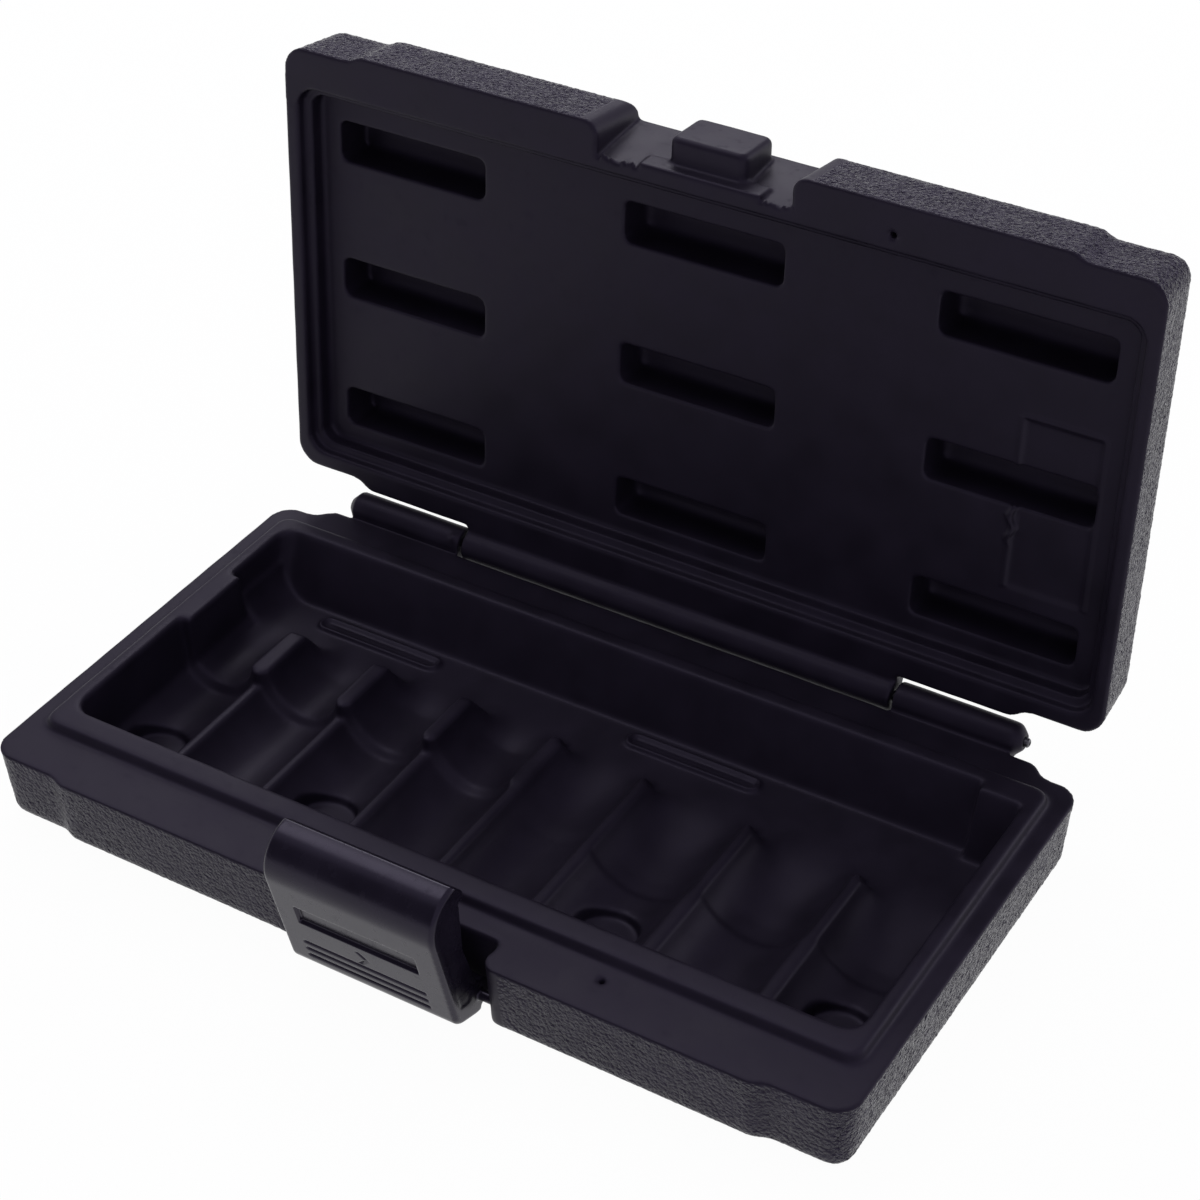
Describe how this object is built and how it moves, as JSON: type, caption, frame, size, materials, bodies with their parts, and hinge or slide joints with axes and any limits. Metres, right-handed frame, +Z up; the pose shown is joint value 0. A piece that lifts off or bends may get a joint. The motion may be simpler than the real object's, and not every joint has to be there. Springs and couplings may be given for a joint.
{
  "type": "tool case",
  "caption": "Blow-moulded tool case with a hinged lid and a snap latch; its tray has round troughs for long sockets and the lid is ribbed with blind pockets.",
  "frame": {"origin": "centre of the base's flat underside", "axes": "+X along the case's width, -Y towards the latch, +Z up; the lid stands open at rest"},
  "size_m": [0.29, 0.2113, 0.1863],
  "materials": {
    "shell_plastic": "black polyethylene, pebbled outside and smooth matt inside",
    "latch_plastic": "smooth black plastic, semi-gloss",
    "pin_steel": "darkened drawn wire"
  },
  "bodies": {
    "base": {"base_shell": "shell_plastic", "hinge_pin": "pin_steel"},
    "lid": {"lid_shell": "shell_plastic"},
    "latch": {"latch": "latch_plastic"}
  },
  "joints": [
    {"name": "lid_hinge", "type": "hinge", "parent": "base", "child": "lid", "pos_m": [0, 0.0855, 0.0262], "axis": [1, 0, 0], "range_deg": [0, 94.4]},
    {"name": "latch_pivot", "type": "hinge", "parent": "base", "child": "latch", "pos_m": [0, -0.0695, 0.0076], "axis": [1, 0, 0], "range_deg": [-8, 20]}
  ]
}
